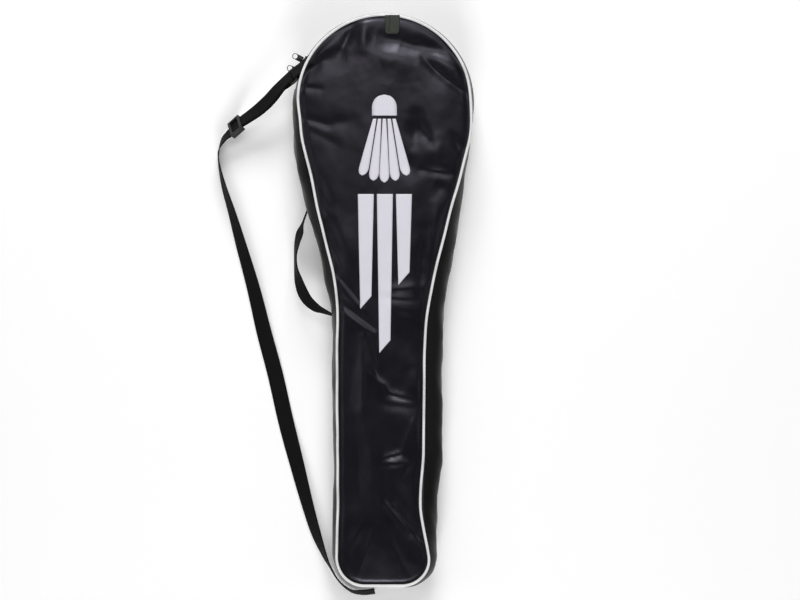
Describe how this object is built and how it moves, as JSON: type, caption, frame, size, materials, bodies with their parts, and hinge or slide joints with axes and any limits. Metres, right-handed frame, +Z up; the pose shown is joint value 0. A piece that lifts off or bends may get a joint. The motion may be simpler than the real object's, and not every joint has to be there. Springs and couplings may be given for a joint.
{
  "type": "badminton racket bag",
  "caption": "Full-length soft racket bag lying flat, round head and narrow shaft, zipped head flap, shoulder strap and carry handle.",
  "frame": {"origin": "centre of the round head, on the plane the bag lies on", "axes": "+X across the bag, +Y towards the racket's head, +Z up from the back panel to the front panel"},
  "size_m": [0.3209, 0.7305, 0.0632],
  "materials": {
    "nylon_front": "glossy coated nylon",
    "nylon_side": "satin nylon",
    "piping": "coated cord",
    "binding": "matt tape",
    "zip_tape": "woven tape",
    "zip_coil": "satin",
    "webbing": "woven webbing",
    "slider": "satin black",
    "nickel": "plated",
    "pull": "matt",
    "buckle": "moulded acetal"
  },
  "bodies": {
    "case": {"back_panel": "nylon_front", "front_panel": "nylon_front", "binding_back": "binding", "binding_front": "binding", "piping_back": "piping", "piping_front": "piping", "gusset_body": "nylon_side", "gusset_strip_back": "nylon_side", "gusset_strip_end": "nylon_side", "zip_tape_back": "zip_tape", "zip_coil_back": "zip_coil", "zip_tape_end": "zip_tape", "zip_coil_end": "zip_coil", "zip_stops": "nickel", "zip_cover_right": "nylon_side", "zip_cover_left": "nylon_side", "strap_tab": "webbing", "strap_anchor": "webbing", "handle_end_upper": "webbing", "handle_end_lower": "webbing"},
    "flap": {"front_flap": "nylon_front", "binding_flap": "binding", "piping_flap": "piping", "gusset_strip_flap": "nylon_side", "zip_tape_flap": "zip_tape", "zip_coil_flap": "zip_coil", "hang_loop": "webbing"},
    "slider_right": {"slider_right": "slider"},
    "slider_left": {"slider_left": "slider"},
    "pull_right": {"pull_link_right": "nickel", "pull_tab_right": "pull", "pull_ring_right": "nickel"},
    "pull_left": {"pull_link_left": "nickel", "pull_tab_left": "pull", "pull_ring_left": "nickel"},
    "ring": {"loop_ring": "buckle"},
    "strap": {"strap_webbing": "webbing", "strap_return": "webbing"},
    "adjuster": {"adjuster": "buckle"},
    "handle": {"handle": "webbing"}
  },
  "joints": [
    {"name": "flap_open", "type": "hinge", "parent": "case", "child": "flap", "pos_m": [0.00398, 0.0132, 0.0625], "axis": [0.9573, -0.289, 0], "range_deg": [0, 120]},
    {"name": "slider_right_travel", "type": "hinge", "parent": "case", "child": "slider_right", "pos_m": [0, 0, 0.031], "axis": [0, 0, 1], "range_deg": [-157, 0]},
    {"name": "slider_left_travel", "type": "hinge", "parent": "case", "child": "slider_left", "pos_m": [0, 0, 0.031], "axis": [0, 0, 1], "range_deg": [0, 8]},
    {"name": "pull_right_swing", "type": "hinge", "parent": "slider_right", "child": "pull_right", "pos_m": [-0.10279, 0.05397, 0.031], "axis": [0, 0, 1], "range_deg": [-60, 25]},
    {"name": "pull_left_swing", "type": "hinge", "parent": "slider_left", "child": "pull_left", "pos_m": [-0.10896, 0.04009, 0.031], "axis": [0, 0, 1], "range_deg": [-25, 60]},
    {"name": "strap_swing", "type": "hinge", "parent": "case", "child": "strap", "pos_m": [-0.1152, 0.0319, 0.045], "axis": [-0.0701, 0.9958, 0.0581], "range_deg": [0, 22]},
    {"name": "ring_tilt", "type": "hinge", "parent": "case", "child": "ring", "pos_m": [-0.11212, 0.03451, 0.04633], "axis": [-0.2326, 0.6453, -0.7276], "range_deg": [0, 18]},
    {"name": "adjuster_slide", "type": "slide", "parent": "strap", "child": "adjuster", "axis": [-0.7248, -0.6139, -0.3127], "range_m": [-0.064, 0]},
    {"name": "handle_swing", "type": "hinge", "parent": "case", "child": "handle", "pos_m": [-0.1046, -0.158, 0.031], "axis": [-0.1345, 0.9909, 0], "range_deg": [-55, 55]}
  ]
}
